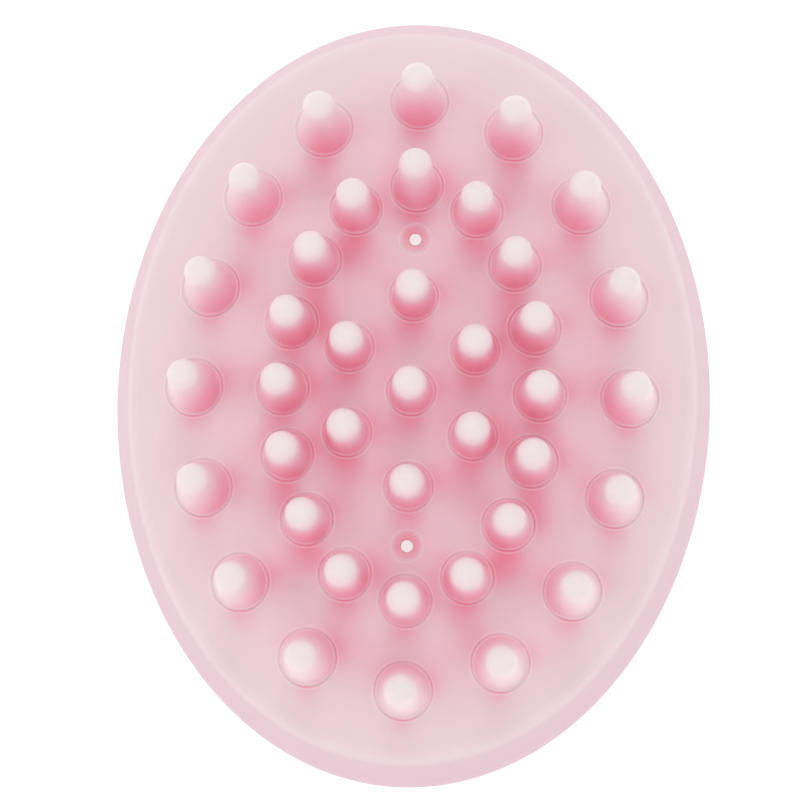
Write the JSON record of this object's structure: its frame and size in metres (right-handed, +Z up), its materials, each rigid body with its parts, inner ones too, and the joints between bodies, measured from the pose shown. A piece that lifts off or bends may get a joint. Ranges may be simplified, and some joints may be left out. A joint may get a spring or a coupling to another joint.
{
  "type": "scalp massager brush",
  "caption": "Oval hand-held scalp massager with a soft silicone pad of rounded flexing pins and a waisted palm grip on its back.",
  "frame": {"origin": "middle of the flat end of the grip, which the brush stands on with its pins up", "axes": "+Z up, out of the bristle face; +Y along the long way of the oval; +X across it"},
  "size_m": [0.0772, 0.1, 0.0554],
  "materials": {
    "silicone_pink": "satin translucent silicone",
    "pin_silicone": "satin translucent silicone",
    "carrier_white": "matte",
    "shell_pink": "gloss",
    "grip_soft": "matte soft touch",
    "screw_steel": "bright zinc"
  },
  "bodies": {
    "brush": {"bristle_pad": "silicone_pink", "carrier_plate": "carrier_white", "back_shell": "shell_pink", "grip_core": "shell_pink", "grip_cap": "grip_soft", "screw_front": "screw_steel", "screw_rear": "screw_steel"},
    "pin_outer_01": {"pin_outer_01": "pin_silicone"},
    "pin_outer_02": {"pin_outer_02": "pin_silicone"},
    "pin_outer_03": {"pin_outer_03": "pin_silicone"},
    "pin_outer_04": {"pin_outer_04": "pin_silicone"},
    "pin_outer_05": {"pin_outer_05": "pin_silicone"},
    "pin_outer_06": {"pin_outer_06": "pin_silicone"},
    "pin_outer_07": {"pin_outer_07": "pin_silicone"},
    "pin_outer_08": {"pin_outer_08": "pin_silicone"},
    "pin_outer_09": {"pin_outer_09": "pin_silicone"},
    "pin_outer_10": {"pin_outer_10": "pin_silicone"},
    "pin_outer_11": {"pin_outer_11": "pin_silicone"},
    "pin_outer_12": {"pin_outer_12": "pin_silicone"},
    "pin_outer_13": {"pin_outer_13": "pin_silicone"},
    "pin_outer_14": {"pin_outer_14": "pin_silicone"},
    "pin_outer_15": {"pin_outer_15": "pin_silicone"},
    "pin_outer_16": {"pin_outer_16": "pin_silicone"},
    "pin_middle_01": {"pin_middle_01": "pin_silicone"},
    "pin_middle_02": {"pin_middle_02": "pin_silicone"},
    "pin_middle_03": {"pin_middle_03": "pin_silicone"},
    "pin_middle_04": {"pin_middle_04": "pin_silicone"},
    "pin_middle_05": {"pin_middle_05": "pin_silicone"},
    "pin_middle_06": {"pin_middle_06": "pin_silicone"},
    "pin_middle_07": {"pin_middle_07": "pin_silicone"},
    "pin_middle_08": {"pin_middle_08": "pin_silicone"},
    "pin_middle_09": {"pin_middle_09": "pin_silicone"},
    "pin_middle_10": {"pin_middle_10": "pin_silicone"},
    "pin_middle_11": {"pin_middle_11": "pin_silicone"},
    "pin_middle_12": {"pin_middle_12": "pin_silicone"},
    "pin_middle_13": {"pin_middle_13": "pin_silicone"},
    "pin_middle_14": {"pin_middle_14": "pin_silicone"},
    "pin_middle_15": {"pin_middle_15": "pin_silicone"},
    "pin_middle_16": {"pin_middle_16": "pin_silicone"},
    "pin_inner_01": {"pin_inner_01": "pin_silicone"},
    "pin_inner_02": {"pin_inner_02": "pin_silicone"},
    "pin_inner_03": {"pin_inner_03": "pin_silicone"},
    "pin_inner_04": {"pin_inner_04": "pin_silicone"},
    "pin_inner_05": {"pin_inner_05": "pin_silicone"},
    "pin_inner_06": {"pin_inner_06": "pin_silicone"},
    "pin_centre": {"pin_centre": "pin_silicone"}
  },
  "joints": [
    {"name": "pin_outer_01_flex", "type": "hinge", "parent": "brush", "child": "pin_outer_01", "pos_m": [0, 0.0377, 0.03881], "axis": [-1, 0, 0], "range_deg": [-15, 15], "stiffness_Nm_per_rad": 0.02},
    {"name": "pin_outer_02_flex", "type": "hinge", "parent": "brush", "child": "pin_outer_02", "pos_m": [0.01219, 0.03386, 0.03884], "axis": [-0.9409, 0.3387, 0], "range_deg": [-15, 15], "stiffness_Nm_per_rad": 0.02},
    {"name": "pin_outer_03_flex", "type": "hinge", "parent": "brush", "child": "pin_outer_03", "pos_m": [0.021, 0.02458, 0.03892], "axis": [-0.7604, 0.6495, 0], "range_deg": [-15, 15], "stiffness_Nm_per_rad": 0.02},
    {"name": "pin_outer_04_flex", "type": "hinge", "parent": "brush", "child": "pin_outer_04", "pos_m": [0.02606, 0.01277, 0.03898], "axis": [-0.44, 0.898, 0], "range_deg": [-15, 15], "stiffness_Nm_per_rad": 0.02},
    {"name": "pin_outer_05_flex", "type": "hinge", "parent": "brush", "child": "pin_outer_05", "pos_m": [0.0277, -0.00007, 0.039], "axis": [0.0024, 1, 0], "range_deg": [-15, 15], "stiffness_Nm_per_rad": 0.02},
    {"name": "pin_outer_06_flex", "type": "hinge", "parent": "brush", "child": "pin_outer_06", "pos_m": [0.02605, -0.01283, 0.03898], "axis": [0.442, 0.897, 0], "range_deg": [-15, 15], "stiffness_Nm_per_rad": 0.02},
    {"name": "pin_outer_07_flex", "type": "hinge", "parent": "brush", "child": "pin_outer_07", "pos_m": [0.02097, -0.02463, 0.03892], "axis": [0.7615, 0.6482, 0], "range_deg": [-15, 15], "stiffness_Nm_per_rad": 0.02},
    {"name": "pin_outer_08_flex", "type": "hinge", "parent": "brush", "child": "pin_outer_08", "pos_m": [0.01214, -0.03388, 0.03884], "axis": [0.9414, 0.3374, 0], "range_deg": [-15, 15], "stiffness_Nm_per_rad": 0.02},
    {"name": "pin_outer_09_flex", "type": "hinge", "parent": "brush", "child": "pin_outer_09", "pos_m": [0, -0.0377, 0.03881], "axis": [1, 0, 0], "range_deg": [-15, 15], "stiffness_Nm_per_rad": 0.02},
    {"name": "pin_outer_10_flex", "type": "hinge", "parent": "brush", "child": "pin_outer_10", "pos_m": [-0.01219, -0.03386, 0.03884], "axis": [0.9409, -0.3387, 0], "range_deg": [-15, 15], "stiffness_Nm_per_rad": 0.02},
    {"name": "pin_outer_11_flex", "type": "hinge", "parent": "brush", "child": "pin_outer_11", "pos_m": [-0.021, -0.02458, 0.03892], "axis": [0.7604, -0.6495, 0], "range_deg": [-15, 15], "stiffness_Nm_per_rad": 0.02},
    {"name": "pin_outer_12_flex", "type": "hinge", "parent": "brush", "child": "pin_outer_12", "pos_m": [-0.02606, -0.01277, 0.03898], "axis": [0.44, -0.898, 0], "range_deg": [-15, 15], "stiffness_Nm_per_rad": 0.02},
    {"name": "pin_outer_13_flex", "type": "hinge", "parent": "brush", "child": "pin_outer_13", "pos_m": [-0.0277, 0, 0.039], "axis": [0, -1, 0], "range_deg": [-15, 15], "stiffness_Nm_per_rad": 0.02},
    {"name": "pin_outer_14_flex", "type": "hinge", "parent": "brush", "child": "pin_outer_14", "pos_m": [-0.02605, 0.01283, 0.03898], "axis": [-0.442, -0.897, 0], "range_deg": [-15, 15], "stiffness_Nm_per_rad": 0.02},
    {"name": "pin_outer_15_flex", "type": "hinge", "parent": "brush", "child": "pin_outer_15", "pos_m": [-0.02097, 0.02463, 0.03892], "axis": [-0.7615, -0.6482, 0], "range_deg": [-15, 15], "stiffness_Nm_per_rad": 0.02},
    {"name": "pin_outer_16_flex", "type": "hinge", "parent": "brush", "child": "pin_outer_16", "pos_m": [-0.01214, 0.03388, 0.03884], "axis": [-0.9414, -0.3374, 0], "range_deg": [-15, 15], "stiffness_Nm_per_rad": 0.02},
    {"name": "pin_middle_01_flex", "type": "hinge", "parent": "brush", "child": "pin_middle_01", "pos_m": [0, 0.02645, 0.03982], "axis": [-1, 0, 0], "range_deg": [-15, 15], "stiffness_Nm_per_rad": 0.02},
    {"name": "pin_middle_02_flex", "type": "hinge", "parent": "brush", "child": "pin_middle_02", "pos_m": [0.00773, 0.02329, 0.0399], "axis": [-0.9491, 0.3149, 0], "range_deg": [-15, 15], "stiffness_Nm_per_rad": 0.02},
    {"name": "pin_middle_03_flex", "type": "hinge", "parent": "brush", "child": "pin_middle_03", "pos_m": [0.01274, 0.0165, 0.04004], "axis": [-0.7916, 0.6111, 0], "range_deg": [-15, 15], "stiffness_Nm_per_rad": 0.02},
    {"name": "pin_middle_04_flex", "type": "hinge", "parent": "brush", "child": "pin_middle_04", "pos_m": [0.01545, 0.00844, 0.04014], "axis": [-0.4793, 0.8777, 0], "range_deg": [-15, 15], "stiffness_Nm_per_rad": 0.02},
    {"name": "pin_middle_05_flex", "type": "hinge", "parent": "brush", "child": "pin_middle_05", "pos_m": [0.0163, -0.00005, 0.04018], "axis": [0.0028, 1, 0], "range_deg": [-15, 15], "stiffness_Nm_per_rad": 0.02},
    {"name": "pin_middle_06_flex", "type": "hinge", "parent": "brush", "child": "pin_middle_06", "pos_m": [0.01544, -0.00848, 0.04014], "axis": [0.4814, 0.8765, 0], "range_deg": [-15, 15], "stiffness_Nm_per_rad": 0.02},
    {"name": "pin_middle_07_flex", "type": "hinge", "parent": "brush", "child": "pin_middle_07", "pos_m": [0.01272, -0.01654, 0.04004], "axis": [0.7926, 0.6097, 0], "range_deg": [-15, 15], "stiffness_Nm_per_rad": 0.02},
    {"name": "pin_middle_08_flex", "type": "hinge", "parent": "brush", "child": "pin_middle_08", "pos_m": [0.0077, -0.02331, 0.0399], "axis": [0.9495, 0.3137, 0], "range_deg": [-15, 15], "stiffness_Nm_per_rad": 0.02},
    {"name": "pin_middle_09_flex", "type": "hinge", "parent": "brush", "child": "pin_middle_09", "pos_m": [0, -0.02645, 0.03982], "axis": [1, 0, 0], "range_deg": [-15, 15], "stiffness_Nm_per_rad": 0.02},
    {"name": "pin_middle_10_flex", "type": "hinge", "parent": "brush", "child": "pin_middle_10", "pos_m": [-0.00773, -0.02329, 0.0399], "axis": [0.9491, -0.3149, 0], "range_deg": [-15, 15], "stiffness_Nm_per_rad": 0.02},
    {"name": "pin_middle_11_flex", "type": "hinge", "parent": "brush", "child": "pin_middle_11", "pos_m": [-0.01274, -0.0165, 0.04004], "axis": [0.7916, -0.6111, 0], "range_deg": [-15, 15], "stiffness_Nm_per_rad": 0.02},
    {"name": "pin_middle_12_flex", "type": "hinge", "parent": "brush", "child": "pin_middle_12", "pos_m": [-0.01545, -0.00844, 0.04014], "axis": [0.4793, -0.8777, 0], "range_deg": [-15, 15], "stiffness_Nm_per_rad": 0.02},
    {"name": "pin_middle_13_flex", "type": "hinge", "parent": "brush", "child": "pin_middle_13", "pos_m": [-0.0163, 0, 0.04018], "axis": [0, -1, 0], "range_deg": [-15, 15], "stiffness_Nm_per_rad": 0.02},
    {"name": "pin_middle_14_flex", "type": "hinge", "parent": "brush", "child": "pin_middle_14", "pos_m": [-0.01544, 0.00848, 0.04014], "axis": [-0.4814, -0.8765, 0], "range_deg": [-15, 15], "stiffness_Nm_per_rad": 0.02},
    {"name": "pin_middle_15_flex", "type": "hinge", "parent": "brush", "child": "pin_middle_15", "pos_m": [-0.01272, 0.01654, 0.04004], "axis": [-0.7926, -0.6097, 0], "range_deg": [-15, 15], "stiffness_Nm_per_rad": 0.02},
    {"name": "pin_middle_16_flex", "type": "hinge", "parent": "brush", "child": "pin_middle_16", "pos_m": [-0.0077, 0.02331, 0.0399], "axis": [-0.9495, -0.3137, 0], "range_deg": [-15, 15], "stiffness_Nm_per_rad": 0.02},
    {"name": "pin_inner_01_flex", "type": "hinge", "parent": "brush", "child": "pin_inner_01", "pos_m": [0, 0.0121, 0.04059], "axis": [-1, 0, 0], "range_deg": [-15, 15], "stiffness_Nm_per_rad": 0.018},
    {"name": "pin_inner_02_flex", "type": "hinge", "parent": "brush", "child": "pin_inner_02", "pos_m": [0.00796, 0.00542, 0.04061], "axis": [-0.5628, 0.8266, 0], "range_deg": [-15, 15], "stiffness_Nm_per_rad": 0.018},
    {"name": "pin_inner_03_flex", "type": "hinge", "parent": "brush", "child": "pin_inner_03", "pos_m": [0.00795, -0.00544, 0.04061], "axis": [0.5644, 0.8255, 0], "range_deg": [-15, 15], "stiffness_Nm_per_rad": 0.018},
    {"name": "pin_inner_04_flex", "type": "hinge", "parent": "brush", "child": "pin_inner_04", "pos_m": [0, -0.0121, 0.04059], "axis": [1, 0, 0], "range_deg": [-15, 15], "stiffness_Nm_per_rad": 0.018},
    {"name": "pin_inner_05_flex", "type": "hinge", "parent": "brush", "child": "pin_inner_05", "pos_m": [-0.00796, -0.00542, 0.04061], "axis": [0.5628, -0.8266, 0], "range_deg": [-15, 15], "stiffness_Nm_per_rad": 0.018},
    {"name": "pin_inner_06_flex", "type": "hinge", "parent": "brush", "child": "pin_inner_06", "pos_m": [-0.00795, 0.00544, 0.04061], "axis": [-0.5644, -0.8255, 0], "range_deg": [-15, 15], "stiffness_Nm_per_rad": 0.018},
    {"name": "pin_centre_flex", "type": "hinge", "parent": "brush", "child": "pin_centre", "pos_m": [0, 0, 0.0408], "axis": [0, 1, 0], "range_deg": [-15, 15], "stiffness_Nm_per_rad": 0.018}
  ]
}
